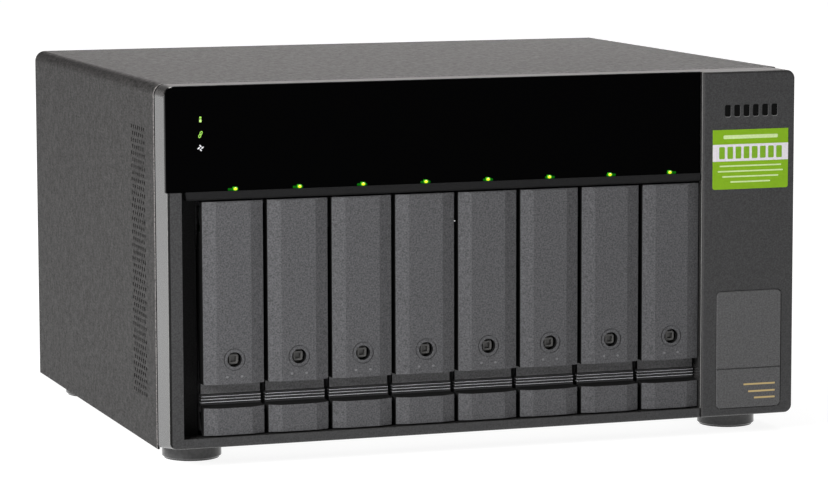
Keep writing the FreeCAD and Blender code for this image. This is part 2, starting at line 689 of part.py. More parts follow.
def psu_case():
    """Slim supply box on its side in the right column, vented at both ends."""
    low, high = BOTTOM + SHEET, BOTTOM + SHEET + PSU_HEIGHT
    x0, x1 = PSU_X
    shell = box(x0, x1, PSU_DEPTH, PANEL_FRONT, low, high)
    room = box(x0 + 1, x1 - 1, PSU_DEPTH + 1, PANEL_FRONT - 1, low + 1, high - 1)
    through_back = (PANEL_FRONT - 2, PANEL_FRONT + 1)
    inlet_hole = box(INLET_X - 13.8, INLET_X + 13.8, *through_back, INLET_Z - 10.3, INLET_Z + 10.3)
    vents = []
    for row in range(6):
        z = 56.2 + row * 5.0
        vents.append(box(INLET_X - 13, INLET_X + 13, *through_back, z, z + 2.0))
        vents.append(box(x0 + 6, x1 - 6, PSU_DEPTH - 1, PSU_DEPTH + 2, z, z + 2.0))
    holes = [along_depth(x, z, SCREW_RADIUS + 0.2, *through_back) for x, z in supply_screw_places()]
    return cut(shell, room, inlet_hole, *vents, *holes)


def ac_inlet():
    """Three-pin appliance inlet with a thin flange."""
    flange = rounded_slab(
        INLET_X - 16, INLET_X + 16, INLET_Z - 13, INLET_Z + 13, PANEL_FRONT, PANEL_FRONT + 2.0, (3.0,) * 4
    )
    body = box(INLET_X - 13.5, INLET_X + 13.5, 259.0, PANEL_FRONT, INLET_Z - 10, INLET_Z + 10)
    cavity = front_prism(
        [
            (INLET_X - 12.2, INLET_Z - 8.4),
            (INLET_X + 12.2, INLET_Z - 8.4),
            (INLET_X + 12.2, INLET_Z + 3.6),
            (INLET_X + 7.4, INLET_Z + 8.4),
            (INLET_X - 7.4, INLET_Z + 8.4),
            (INLET_X - 12.2, INLET_Z + 3.6),
        ],
        262.0,
        PANEL_FRONT + 3,
    )
    pins = [
        box(INLET_X + dx - 1, INLET_X + dx + 1, 261.5, 273.5, INLET_Z + dz - 2, INLET_Z + dz + 2)
        for dx, dz in ((-7.0, -1.5), (0.0, 2.5), (7.0, -1.5))
    ]
    return fuse(cut(fuse(flange, body), cavity), *pins)


def controller_board():
    """Upright control board with its controller, heat sink, push switch and slide switch body."""
    x = CONTROL_X
    board = box(x, x + BOARD_THICK, 196.0, 277.0, 98.0, 176.0)
    top = x + BOARD_THICK
    chip = box(top, top + 1.4, 214.0, 232.0, 124.0, 142.0)
    sink = box(top + 1.4, top + 3.0, 212.0, 234.0, 122.0, 144.0)
    fins = [box(top + 2.8, top + 11.0, 212.0, 234.0, 122.2 + 3.4 * i, 123.4 + 3.4 * i) for i in range(7)]
    push = box(top, BUTTON_X + 3.0, 269.5, 273.6, BUTTON_Z - 3.0, BUTTON_Z + 3.0)
    slide = box(top, BUTTON_X + 2.6, 270.0, 275.4, SWITCH_Z - 5.0, SWITCH_Z + 5.0)
    header = box(top, top + 6.0, 200.0, 206.0, 150.0, 170.0)
    return [board, chip, fuse(sink, *fins), push, slide, header]


def usb_c_port():
    """Receptacle shell with its centre tongue."""
    x0 = CONTROL_X + BOARD_THICK
    radius = 1.5
    shell = rounded_slab(x0, x0 + 3.3, PORT_Z - 4.5, PORT_Z + 4.5, 270.0, PANEL_BACK + 0.3, (radius,) * 4)
    mouth = rounded_slab(
        x0 + 0.35, x0 + 2.95, PORT_Z - 4.15, PORT_Z + 4.15, 272.0, PANEL_BACK + 1, (1.2,) * 4
    )
    tongue = box(x0 + 1.3, x0 + 2.0, 271.5, PANEL_BACK - 0.8, PORT_Z - 3.3, PORT_Z + 3.3)
    return fuse(cut(shell, mouth), tongue)


def power_button():
    """Sprung push button: a domed cap in front of a collar that stays behind the panel."""
    cap = along_depth(BUTTON_X, BUTTON_Z, 3.8, 276.0, 279.3)
    cap = soften(cap, 0.6, lambda bb: flat(bb.YMin, bb.YMax) and bb.YMax > FRONT_Y + 279)
    collar = along_depth(BUTTON_X, BUTTON_Z, 5.0, 275.4, 276.8)
    stem = along_depth(BUTTON_X, BUTTON_Z, 1.5, 274.9, 276.0)
    return fuse(cap, collar, stem)


def fan_speed_switch():
    """Small slider that sticks out of its slot."""
    knob = box(BUTTON_X - 1.2, BUTTON_X + 1.2, 275.7, 279.4, SWITCH_Z - 1.5, SWITCH_Z + 1.5)
    skid = box(BUTTON_X - 2.0, BUTTON_X + 2.0, 275.7, 276.8, SWITCH_Z - 2.2, SWITCH_Z + 2.2)
    return fuse(knob, skid)


def power_harness():
    """Supply lead from the top of the supply to the back of the backplane, bent round two corners."""
    radius = 2.0
    psu_top = BOTTOM + SHEET + PSU_HEIGHT
    route = [
        vec(130, 230, psu_top),
        vec(130, 230, 118.0),
        vec(92, 206, 118.0),
        vec(92, BACKPLANE_DEPTH + BOARD_THICK, 118.0),
    ]
    path, last = [], route[0]
    for before, corner, after in zip(route, route[1:], route[2:]):
        arrive, leave = (corner - before), (after - corner)
        shorter = min(arrive.Length, leave.Length)
        turn = arrive.getAngle(leave)
        bend = 0.45 * shorter / math.tan(turn / 2)
        reach = bend * math.tan(turn / 2)
        start = corner - arrive.normalize() * reach
        end = corner + leave.normalize() * reach
        inward = (leave - arrive).normalize()
        middle = corner + inward * (bend / math.cos(turn / 2) - bend)
        path += [Part.LineSegment(last, start).toShape(), Part.Arc(start, middle, end).toShape()]
        last = end
        print(f"power harness bend radius {bend:.1f}")
    path.append(Part.LineSegment(last, route[-1]).toShape())
    section = Part.Wire(Part.Circle(route[0], FreeCAD.Vector(0, 0, 1), radius).toShape())
    return Part.Wire(path).makePipeShell([section], True, False)


# ---------------------------------------------------------------- fans
def fan_frame(x):
    """Square fan body with a round duct, four struts and a motor seat at the back."""
    half = FAN_SIZE / 2
    d0, d1 = PANEL_FRONT - FAN_THICK, PANEL_FRONT
    body = rounded_slab(x - half, x + half, FAN_Z - half, FAN_Z + half, d0, d1, (5.0,) * 4)
    duct = along_depth(x, FAN_Z, FAN_BORE, d0 - 1, d1 + 1)
    outside = half + 1
    around = box(x - outside, x + outside, d0 + 4, d1 - 4, FAN_Z - outside, FAN_Z + outside)
    waist = cut(around, along_depth(x, FAN_Z, FAN_BORE + 1.5, d0, d1))
    hole = FAN_HOLE_PITCH / 2
    holes = [
        along_depth(x + sx * hole, FAN_Z + sz * hole, SCREW_RADIUS + 0.2, d0 - 1, d1 + 1)
        for sx in (-1, 1)
        for sz in (-1, 1)
    ]
    seat = along_depth(x, FAN_Z, 19.0, 274.7, d1)
    struts = []
    for turn in (45, 135, 225, 315):
        strut = box(x, x + FAN_BORE + 1.0, 274.7, d1, FAN_Z - 1.5, FAN_Z + 1.5)
        strut.rotate(vec(x, 0, FAN_Z), FreeCAD.Vector(0, 1, 0), turn)
        struts.append(strut)
    return fuse(cut(body, duct, waist, *holes), seat, *struts)


def fan_rotor(x):
    """Hub cup with seven pitched blades."""
    d0, d1 = ROTOR_DEPTH
    hub = along_depth(x, FAN_Z, 20.0, d0, d1)
    hub = soften(hub, 1.5, lambda bb: flat(bb.YMin, bb.YMax) and bb.YMax < FRONT_Y + d0 + 1)
    blades = []
    middle = (d0 + d1) / 2
    for i in range(7):
        blade = box(x + 18.0, x + 55.5, middle - 0.8, middle + 0.8, FAN_Z - 14.0, FAN_Z + 14.0)
        blade.rotate(vec(x, middle, FAN_Z), FreeCAD.Vector(1, 0, 0), 36)
        blade.rotate(vec(x, 0, FAN_Z), FreeCAD.Vector(0, 1, 0), i * 360 / 7)
        blades.append(blade)
    return fuse(hub, *blades)


def fan_grille(x):
    """Finger guard of concentric rings on four spokes."""
    d0, d1 = PANEL_BACK, GRILLE_BACK
    rings = []
    half = GRILLE_WIRE / 2
    for radius in GRILLE_RADII:
        disc = along_depth(x, FAN_Z, radius + half, d0, d1)
        rings.append(cut(disc, along_depth(x, FAN_Z, radius - half, d0 - 1, d1 + 1)))
    spokes = []
    for turn in (45, 135, 225, 315):
        spoke = box(x + 13.5, x + FAN_HOLE_PITCH / 2 * math.sqrt(2) - 3.6, d0, d1, FAN_Z - 0.9, FAN_Z + 0.9)
        spoke.rotate(vec(x, 0, FAN_Z), FreeCAD.Vector(0, 1, 0), turn)
        spokes.append(spoke)
    return fuse(*rings, *spokes)


def supply_screw_places():
    return [(PSU_X[0] + 5, 50.0), (PSU_X[1] - 5, 50.0)]


def screw_places():
    half = FAN_HOLE_PITCH / 2
    fans = [(x + sx * half, FAN_Z + sz * half) for x in FAN_X for sx in (-1, 1) for sz in (-1, 1)]
    return fans + supply_screw_places()


def rear_screws():
    """Pan-head screws that hold the fans and the supply to the rear panel."""
    screws = []
    for x, z in screw_places():
        shank = along_depth(x, z, SCREW_RADIUS, PANEL_BACK - 7.0, PANEL_BACK + 0.2)
        head = along_depth(x, z, SCREW_HEAD_RADIUS, PANEL_BACK, GRILLE_BACK)
        head = soften(head, 0.6, lambda bb: bb.YMin > FRONT_Y + GRILLE_BACK - 0.1)
        slot_wide = box(x - 1.6, x + 1.6, GRILLE_BACK - 0.7, GRILLE_BACK + 1, z - 0.35, z + 0.35)
        slot_tall = box(x - 0.35, x + 0.35, GRILLE_BACK - 0.7, GRILLE_BACK + 1, z - 1.6, z + 1.6)
        screws.append(cut(fuse(shank, head), slot_wide, slot_tall))
    return screws


# ---------------------------------------------------------------- write every piece
os.makedirs("parts", exist_ok=True)
save("outer_cover", outer_cover())
save("chassis_base", chassis_base())
save("rear_panel", rear_panel())
save("rubber_feet", *rubber_feet())
save("front_frame", front_frame())
save("front_window", front_window())
save("indicator_lenses", *indicator_lenses())
save("window_strip", window_strip())
save("led_board", led_board())
save("right_pillar", right_pillar())
save("pillar_plate", pillar_plate())
save("pillar_label", pillar_label())
save("drive_cage", drive_cage())
save("bay_guides", *bay_guides())
save("backplane_board", backplane_board())
save("sata_connectors", *sata_connectors())
save("psu_case", psu_case())
save("ac_inlet", ac_inlet())
save("controller_board", *controller_board())
save("usb_c_port", usb_c_port())
save("power_button", power_button())
save("fan_speed_switch", fan_speed_switch())
save("power_harness", power_harness())
save("fan_frames", *[fan_frame(x) for x in FAN_X])
save("fan_grilles", *[fan_grille(x) for x in FAN_X])
save("rear_screws", *rear_screws())
for number, fan_x in enumerate(FAN_X, 1):
    save(f"fan_{number}_rotor", fan_rotor(fan_x))
for number, tray_x in enumerate(bay_centres(), 1):
    save(f"tray_{number}_carrier", tray_carrier(tray_x))
    save(f"tray_{number}_handle", tray_handle(tray_x))
    save(f"tray_{number}_release_tab", release_tab(tray_x))
    save(f"tray_{number}_lock", tray_lock(tray_x))
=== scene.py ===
"""Looks of the disk shelf enclosure: materials, edge highlights, lamps and small trim.

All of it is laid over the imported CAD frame, whose boxes give the places.
"""

import math

import bpy
from mathutils import Matrix, Vector


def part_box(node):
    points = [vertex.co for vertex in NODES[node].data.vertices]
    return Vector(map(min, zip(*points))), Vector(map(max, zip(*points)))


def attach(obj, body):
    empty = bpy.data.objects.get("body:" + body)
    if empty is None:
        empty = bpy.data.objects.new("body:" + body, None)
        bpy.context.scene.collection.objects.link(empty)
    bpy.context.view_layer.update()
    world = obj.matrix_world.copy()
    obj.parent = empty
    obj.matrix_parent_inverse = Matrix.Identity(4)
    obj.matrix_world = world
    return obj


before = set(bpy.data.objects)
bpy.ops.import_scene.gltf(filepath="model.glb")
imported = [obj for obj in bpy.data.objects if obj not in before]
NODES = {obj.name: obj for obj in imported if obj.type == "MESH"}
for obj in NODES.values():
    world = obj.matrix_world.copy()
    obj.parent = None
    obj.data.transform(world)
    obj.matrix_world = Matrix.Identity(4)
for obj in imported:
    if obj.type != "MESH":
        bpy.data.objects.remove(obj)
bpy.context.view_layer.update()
MM = 0.001

# Places that the CAD frame gives, in metres. The front of the bezel is the plane of the pillar.
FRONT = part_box("right_pillar")[0].y
BEZEL_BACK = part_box("front_frame")[1].y
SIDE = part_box("outer_cover")[1].x
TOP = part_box("outer_cover")[1].z
WINDOW_LOW, WINDOW_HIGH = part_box("front_window")
LABEL_LOW, LABEL_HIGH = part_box("pillar_label")
PLATE_LOW, PLATE_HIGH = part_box("pillar_plate")
LENS_LOW, LENS_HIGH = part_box("indicator_lenses")
HANDLES = [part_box(f"tray_{k}_handle") for k in range(1, 9)]
TRAY_COUNT = 8
# Lock bores lie in the lower part of each handle, between these heights and behind its front skin.
BORE_LOW, BORE_HIGH = HANDLES[0][0].z + 5 * MM, 60 * MM
HANDLE_SKIN = 2.3 * MM
# The gap between the bezel and the cover, with a little to spare on its width and depth.
GROOVE_WIDTH, GROOVE_DEEP = 1.8 * MM, 1.6 * MM
OPENING_FLOOR = 15.3 * MM
FIRST_LAMP_X = -130.1 * MM


# ---------------------------------------------------------------- node helpers
class Look:
    """One procedural material, built around a Principled shader."""

    def __init__(self, name, colour, rough, specular=0.5, metallic=0.0):
        self.material = bpy.data.materials.new(name)
        self.material.use_nodes = True
        self.tree = self.material.node_tree
        self.shader = next(n for n in self.tree.nodes if n.type == "BSDF_PRINCIPLED")
        self.set("Base Color", (*colour, 1))
        self.set("Roughness", rough)
        self.set("Specular IOR Level", specular)
        self.set("Metallic", metallic)
        self.colour, self.rough = colour, rough
        self.place = self.add("ShaderNodeTexCoord").outputs["Object"]
        self.axes = self.add("ShaderNodeSeparateXYZ")
        self.link(self.place, self.axes.inputs[0])

    def set(self, socket, value):
        self.shader.inputs[socket].default_value = value

    def add(self, kind, **values):
        node = self.tree.nodes.new(kind)
        for key, value in values.items():
            setattr(node, key, value)
        return node

    def link(self, output, target):
        self.tree.links.new(output, target)

    def maths(self, operation, a, b=0.0):
        node = self.add("ShaderNodeMath", operation=operation)
        for socket, value in zip(node.inputs, (a, b)):
            if isinstance(value, (int, float)):
                socket.default_value = value
            else:
                self.link(value, socket)
        return node.outputs[0]

    def noise(self, scale, detail=2.0, stretch=(1, 1, 1)):
        mapping = self.add("ShaderNodeMapping")
        mapping.inputs["Scale"].default_value = stretch
        self.link(self.place, mapping.inputs["Vector"])
        node = self.add("ShaderNodeTexNoise")
        node.inputs["Scale"].default_value = scale
        node.inputs["Detail"].default_value = detail
        self.link(mapping.outputs[0], node.inputs["Vector"])
        return node.outputs["Fac"]

    def spread(self, value, low, high, start=0.3, end=0.7):
        """Maps start..end of a value, by default the usual range of a noise, to low..high."""
        node = self.add("ShaderNodeMapRange")
        for key, number in (("From Min", start), ("From Max", end), ("To Min", low), ("To Max", high)):
            node.inputs[key].default_value = number
        self.link(value, node.inputs["Value"])
        return node.outputs[0]

    def mottle(self, scale, amount, detail=2.0, stretch=(1, 1, 1)):
        """Lightness that varies around the base colour."""
        self.shade(self.spread(self.noise(scale, detail, stretch), 1 - amount, 1 + amount))
        return self

    def band(self, axis, start, end, factor):
        """A band across an axis where the colour is painted lighter or darker, as a painted highlight or
        shade.
        """
        inside = self.maths("MULTIPLY", self.maths("GREATER_THAN", self.axes.outputs[axis], start),
                            self.maths("LESS_THAN", self.axes.outputs[axis], end))
        self.shade(self.spread(inside, 1, factor, 0, 1))
        return self

    def patch(self, x_range, z_range, colour):
        """A printed patch of another colour between two limits in x and two in z."""
        inside = 1.0
        for axis, limits in (("X", x_range), ("Z", z_range)):
            for operation, limit in zip(("GREATER_THAN", "LESS_THAN"), limits):
                inside = self.maths("MULTIPLY", self.maths(operation, self.axes.outputs[axis], limit), inside)
        node = self.add("ShaderNodeMix", data_type="RGBA")
        colours = [socket for socket in node.inputs if socket.type == "RGBA"]
        before = self.shader.inputs["Base Color"]
        self.link(before.links[0].from_socket, colours[0])
        colours[1].default_value = (*colour, 1)
        self.link(inside, node.inputs[0])
        self.link(next(socket for socket in node.outputs if socket.type == "RGBA"), before)
        return self

    def shade(self, factor):
        node = self.add("ShaderNodeVectorMath", operation="SCALE")
        before = self.shader.inputs["Base Color"]
        if before.links:
            self.link(before.links[0].from_socket, node.inputs[0])
        else:
            node.inputs[0].default_value = self.colour
        self.link(factor, node.inputs["Scale"])
        self.link(node.outputs[0], before)

    def worn(self, scale, amount):
        """Roughness that varies a little over the surface."""
        value = self.spread(self.noise(scale, 3), self.rough - amount, self.rough + amount)
        self.link(value, self.shader.inputs["Roughness"])
        return self

    def soft_edges(self, radius_mm):
        """Edges that catch the light as a small rounding does."""
        bevel = self.add("ShaderNodeBevel", samples=4)
        bevel.inputs["Radius"].default_value = radius_mm * MM
        self.link(bevel.outputs[0], self.shader.inputs["Normal"])
        return self

    def grain(self, scale, height_mm, detail=2.0, stretch=(1, 1, 1)):
        bump = self.add("ShaderNodeBump")
        bump.inputs["Distance"].default_value = height_mm * MM
        bump.inputs["Strength"].default_value = 1.0
        self.link(self.noise(scale, detail, stretch), bump.inputs["Height"])
        if self.shader.inputs["Normal"].links:
            self.link(self.shader.inputs["Normal"].links[0].from_socket, bump.inputs["Normal"])
        self.link(bump.outputs[0], self.shader.inputs["Normal"])
        return self

    def glow(self, colour, strength):
        self.set("Emission Color", (*colour, 1))
        self.set("Emission Strength", strength)
        return self


# ---------------------------------------------------------------- materials
PAINT = (0.021, 0.0200, 0.0195)
GREY = (0.080, 0.080, 0.0840)
ALONG = (1, 0.3, 1)

LOOKS = {
    "cover_paint": Look("cover_paint", PAINT, 0.58, 0.20).mottle(1100, 0.9, stretch=ALONG).worn(300, 0.06)
    .soft_edges(0.3).grain(1000, 0.10, stretch=ALONG),
    "bezel_plastic": Look("bezel_plastic", (0.024, 0.0235, 0.0232), 0.22).mottle(1500, 0.35).soft_edges(0.3),
    "tray_plastic": Look("tray_plastic", GREY, 0.55, 0.20).mottle(1300, 0.42).grain(1500, 0.03),
    "window_gloss": Look("window_gloss", (0.0003, 0.0003, 0.0004), 0.06, 0.012),
    "strip_plastic": Look("strip_plastic", (0.010, 0.010, 0.0105), 0.45, 0.12).mottle(1500, 0.2)
    .grain(1800, 0.01),
    "tab_plastic": Look("tab_plastic", (0.022, 0.022, 0.023), 0.30, 0.4).mottle(1500, 0.2),
    "lock_plastic": Look("lock_plastic", (0.085, 0.083, 0.080), 0.38).mottle(1500, 0.1).soft_edges(0.15),
    "foot_rubber": Look("foot_rubber", (0.052, 0.052, 0.053), 0.20).mottle(600, 0.25).soft_edges(0.3),
    "plated_steel": Look("plated_steel", (0.55, 0.55, 0.54), 0.38, metallic=1.0).mottle(160, 0.08)
    .worn(90, 0.07),
    "board_green": Look("board_green", (0.010, 0.060, 0.022), 0.45).mottle(500, 0.15),
    "inner_plastic": Look("inner_plastic", (0.016, 0.016, 0.017), 0.45).mottle(900, 0.12),
    "fan_plastic": Look("fan_plastic", (0.017, 0.017, 0.018), 0.42).mottle(900, 0.12),
    "grille_chrome": Look("grille_chrome", (0.70, 0.70, 0.71), 0.20, metallic=1.0).worn(200, 0.05),
    "cable_sleeve": Look("cable_sleeve", (0.020, 0.020, 0.021), 0.60).mottle(1500, 0.3).grain(2500, 0.05),
    "lens_green": Look("lens_green", (0.02, 0.05, 0.0), 0.25),
    "label_paper": Look("label_paper", (0.220, 0.420, 0.012), 0.42, 0.2).mottle(400, 0.03),
}
# Painted shade: near-black for faces in grooves, lock bores and the cover's front edge, where shade falls.
RECESS_SHADE = Look("recess_painted_shade", (0.0065, 0.0065, 0.0068), 0.80, 0.08).mottle(1300, 0.2)
# Painted shade: darker bezel plastic for the walls and flanges inside the opening, which lie in the bars'
# shade.
RETURN_SHADE = Look("return_painted_shade", (0.015, 0.015, 0.0153), 0.80, 0.08).mottle(1300, 0.2)
BEZEL_TOP = Look("bezel_top", (0.024, 0.0235, 0.0232), 0.50, 0.30).mottle(1500, 0.35)
# Painted light: a lighter copy of the tray plastic that lifts the recess wall under each handle out of the
# handle's shade.
WALL_PAINTED_LIGHT = Look("wall_painted_light", (0.125, 0.125, 0.128), 0.80, 0.12).mottle(1300, 0.3)
# Painted shade: near-black for the trays' side faces and block tops, which lie in shade.
FLANK_SHADE = Look("flank_painted_shade", (0.010, 0.010, 0.010), 0.85, 0.05).mottle(1300, 0.2)
# Painted shade: near-black on the bezel's left front rounding, a painted dark reflection.
FILLET_SHADE = Look("fillet_painted_shade", (0.006, 0.006, 0.006), 0.45, 0.10).mottle(1300, 0.2)
BAR = Look("bar_plastic", (0.034, 0.034, 0.035), 0.45, 0.35).mottle(1300, 0.4).grain(1500, 0.02)
PLATE = Look("plate_plastic", (0.066, 0.066, 0.0675), 0.42, 0.5).mottle(1300, 0.4)
PLATE.soft_edges(0.5).grain(1500, 0.02)
# Painted highlight: light grey on the first sliver of the bezel's and the pillar's roundings.
EDGE_HIGHLIGHT = Look("edge_painted_highlight", (0.16, 0.157, 0.155), 0.40).mottle(800, 0.2)
# Painted highlight: a strip of the cover paint six times lighter just behind the bezel, along the cover's
# front edge.
LOOKS["cover_paint"].band("Y", BEZEL_BACK, BEZEL_BACK + 1.9 * MM, 6)
# Painted highlights: light lines along the three crests of each release tab's ridges.
CREST_HEIGHTS = [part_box("tray_1_release_tab")[1].z - (0.9 + 1.45 * i) * MM for i in range(3)]
for height in CREST_HEIGHTS:
    LOOKS["tab_plastic"].band("Z", height - 0.18 * MM, height + 0.22 * MM, 24)


def dress(obj):
    """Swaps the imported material, which is named after its slot, for the one built here."""
    slot = obj.data.materials[0].name.split(".")[0]
    obj.data.materials[0] = LOOKS[slot].material


def finish_or_painted_light(name, look, chosen):
    """Gives the faces of a node that the test picks a look of their own: another surface, or a painted shade
    or highlight.
    """
    mesh = NODES[name].data
    mesh.materials.append(look.material)
    index = len(mesh.materials) - 1
    for face in mesh.polygons:
        if chosen(face.center, face.normal):
            face.material_index = index


for node in NODES.values():
    dress(node)


def inner_front(centre, normal):
    """Walls and flanges inside the bezel's opening."""
    within = abs(centre.x) < SIDE - 2 * MM and OPENING_FLOOR < centre.z < WINDOW_HIGH.z
    return centre.y > FRONT + 0.4 * MM and within


def side_groove(centre, normal):
    """The shadow gap between the bezel and the sheet cover."""
    outside = abs(centre.x) > SIDE - GROOVE_DEEP or centre.z > TOP - GROOVE_DEEP
    return centre.y > BEZEL_BACK - GROOVE_WIDTH and outside


def left_fillet(centre, normal):
    """The rounding between the bezel's front and its left side."""
    return centre.x < -SIDE + 1.4 * MM and centre.y < FRONT + 1.4 * MM and -0.97 < normal.x < -0.2


def fillet_start(centre, normal):
    """The first sliver of a rounding, where a highlight is painted light."""
    return centre.y < FRONT + 1.5 * MM and (-0.9999 < normal.x < -0.93 or 0.93 < normal.z < 0.9999)


def front_bar(centre, normal):
    return normal.y < -0.9 and centre.y < FRONT + 0.4 * MM


def cover_edge(centre, normal):
    return normal.y < -0.6 and centre.y < BEZEL_BACK + 0.4 * MM


def recess_wall(centre, normal):
    return centre.z < HANDLES[0][0].z + 1 * MM and centre.y > FRONT + 4 * MM


def block_top(centre, normal):
    return normal.z > 0.5 and centre.y < FRONT + 11 * MM


def tray_side(centre, normal):
    return abs(normal.x) > 0.9 and centre.y < FRONT + 20 * MM


def behind_face(centre, normal):
    """Walls behind the handle's front skin at the height of its lock bore."""
    behind = centre.y > FRONT + HANDLE_SKIN and abs(normal.y) < 0.2
    return behind and BORE_LOW < centre.z < BORE_HIGH


def bezel_top(centre, normal):
    """The bezel's level top band, which is less glossy than its sides."""
    return normal.z > 0.5 and centre.z > TOP - GROOVE_DEEP


finish_or_painted_light("front_frame", BAR, front_bar)
# Painted shade on the walls and flanges inside the opening.
finish_or_painted_light("front_frame", RETURN_SHADE, inner_front)
finish_or_painted_light("front_frame", BEZEL_TOP, bezel_top)
finish_or_painted_light("right_pillar", BEZEL_TOP, bezel_top)
# Painted shade on the bezel's left front rounding.
finish_or_painted_light("front_frame", FILLET_SHADE, left_fillet)
# Painted highlight on the first sliver of the bezel's roundings.
finish_or_painted_light("front_frame", EDGE_HIGHLIGHT, fillet_start)
# Painted shade in the gap between the bezel and the cover.
finish_or_painted_light("front_frame", RECESS_SHADE, side_groove)
finish_or_painted_light("right_pillar", BAR, front_bar)
# Painted highlight on the first sliver of the pillar's roundings.
finish_or_painted_light("right_pillar", EDGE_HIGHLIGHT, fillet_start)
# Painted shade in the same gap beside the pillar, and on the cover's front edge face.
finish_or_painted_light("right_pillar", RECESS_SHADE, side_groove)
finish_or_painted_light("outer_cover", RECESS_SHADE, cover_edge)
finish_or_painted_light("pillar_plate", PLATE, lambda centre, normal: True)
for k in range(1, TRAY_COUNT + 1):
    # Painted light on the recess wall under each handle.
    finish_or_painted_light(f"tray_{k}_carrier", WALL_PAINTED_LIGHT, recess_wall)
    # Painted shade on the block tops and on the side faces of carriers and handles.
    finish_or_painted_light(f"tray_{k}_carrier", FLANK_SHADE, block_top)
    finish_or_painted_light(f"tray_{k}_carrier", FLANK_SHADE, tray_side)
    finish_or_painted_light(f"tray_{k}_handle", FLANK_SHADE, tray_side)
    # Painted shade on the walls of each handle's lock bore.
    finish_or_painted_light(f"tray_{k}_handle", RECESS_SHADE, behind_face)


# ---------------------------------------------------------------- flat trim
def rounded(x, z, width, height, radius, steps=4):
    """Corner points of a rounded rectangle around x, z."""
    points = []
    for turn in range(4):
        sx, sz = ((1, 1), (-1, 1), (-1, -1), (1, -1))[turn]
        cx, cz = x + sx * (width / 2 - radius), z + sz * (height / 2 - radius)
        for step in range(steps + 1):
            angle = math.pi / 2 * (turn + step / steps)
            points.append((cx + radius * math.cos(angle), cz + radius * math.sin(angle)))
    return points


def oval(x, z, width, height, tilt=0.0, steps=32):
    points = []
    for step in range(steps):
        angle = 2 * math.pi * step / steps
        a, b = width / 2 * math.cos(angle), height / 2 * math.sin(angle)
        across = a * math.cos(tilt) - b * math.sin(tilt)
        points.append((x + across, z + a * math.sin(tilt) + b * math.cos(tilt)))
    return points


def plates(name, body, look, outlines, depth, thick):
    """Thin closed plates with the given outlines, standing proud of a face at depth."""
    vertices, faces = [], []
    for points in outlines:
        first, count = len(vertices), len(points)
        vertices += [(x, depth - thick, z) for x, z in points] + [(x, depth + thick, z) for x, z in points]
        faces.append([first + i for i in range(count)])
        faces.append([first + count + i for i in reversed(range(count))])
        for i in range(count):
            j = (i + 1) % count
            faces.append([first + i, first + count + i, first + count + j, first + j])
    mesh = bpy.data.meshes.new(name)
    mesh.from_pydata(vertices, [], faces)
    return settle(mesh, name, body, look)


def rings(name, body, look, pairs, depth, thick):
    """Flat rings, each between an outer and an inner outline with as many points."""
    vertices, faces = [], []
    for outer, inner in pairs:
        first, count = len(vertices), len(outer)
        for y in (depth - thick, depth + thick):
            vertices += [(x, y, z) for x, z in outer] + [(x, y, z) for x, z in inner]
        for i in range(count):
            j = (i + 1) % count
            a, b, c, d = (first + k * count for k in range(4))
            faces += [[a + i, b + i, b + j, a + j], [c + i, c + j, d + j, d + i],
                      [a + i, a + j, c + j, c + i], [b + i, d + i, d + j, b + j]]
    mesh = bpy.data.meshes.new(name)
    mesh.from_pydata(vertices, [], faces)
    return settle(mesh, name, body, look)


def settle(mesh, name, body, look):
    mesh.validate()
    mesh.materials.append(look.material)
    obj = bpy.data.objects.new(name, mesh)
    bpy.context.scene.collection.objects.link(obj)
    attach(obj, body)
    return obj


# Thin matte look for print, also used for the painted highlight along the pillar badge's dashes.
def printed(name, colour, specular=0.3):
    return Look(name, colour, 0.5, specular).mottle(900, 0.06)


# Half the thickness of a printed or lit plate, and so how far it stands proud of its face.
PRINT = 0.03 * MM


def label_print():
    """A sticker's generic print: a pale band with eight bars, and a few pale lines."""
    middle = (LABEL_LOW.x + LABEL_HIGH.x) / 2
    width = LABEL_HIGH.x - LABEL_LOW.x
    band_low, band_high = LABEL_HIGH.z - 16.0 * MM, LABEL_HIGH.z - 7.4 * MM
    face = LABEL_LOW.y
    white = printed("label_white", (0.76, 0.72, 0.77), 0.2)
    green = printed("label_ink", (0.200, 0.400, 0.020), 0.2)
    band = [rounded(middle, (band_low + band_high) / 2, width, band_high - band_low, 0.2 * MM)]
    plates("label_band", "root", white, band, face, PRINT)
    bars, step = [], 4.5 * MM
    for i in range(TRAY_COUNT):
        x = middle + (i - 3.5) * step
        bars.append(rounded(x, (band_low + band_high) / 2, 3.1 * MM, 6.1 * MM, 0.5 * MM))
    plates("label_bars", "root", green, bars, face, 2 * PRINT)
    lines = [rounded(middle, LABEL_HIGH.z - 3.7 * MM, 30 * MM, 1.9 * MM, 0.6 * MM)]
    for i, length in enumerate((34, 36, 31, 22)):
        lines.append(rounded(middle, band_low - (2.4 + 2.7 * i) * MM, length * MM, 0.75 * MM, 0.3 * MM))
    pale = printed("label_pale", (0.62, 0.78, 0.36), 0.2)
    plates("label_lines", "root", pale, lines, face, PRINT)


def plate_print():
    """Three plain gold bars at the lower right of the service plate."""
    gold, right, half = (0.50, 0.37, 0.16), PLATE_HIGH.x - 3.1 * MM, 0.45 * MM
    for length, height in ((17.4, 11.9), (14.8, 8.2), (11.5, 4.8)):
        middle = PLATE_LOW.z + height * MM
        PLATE.patch((right - length * MM, right), (middle - half, middle + half), gold)


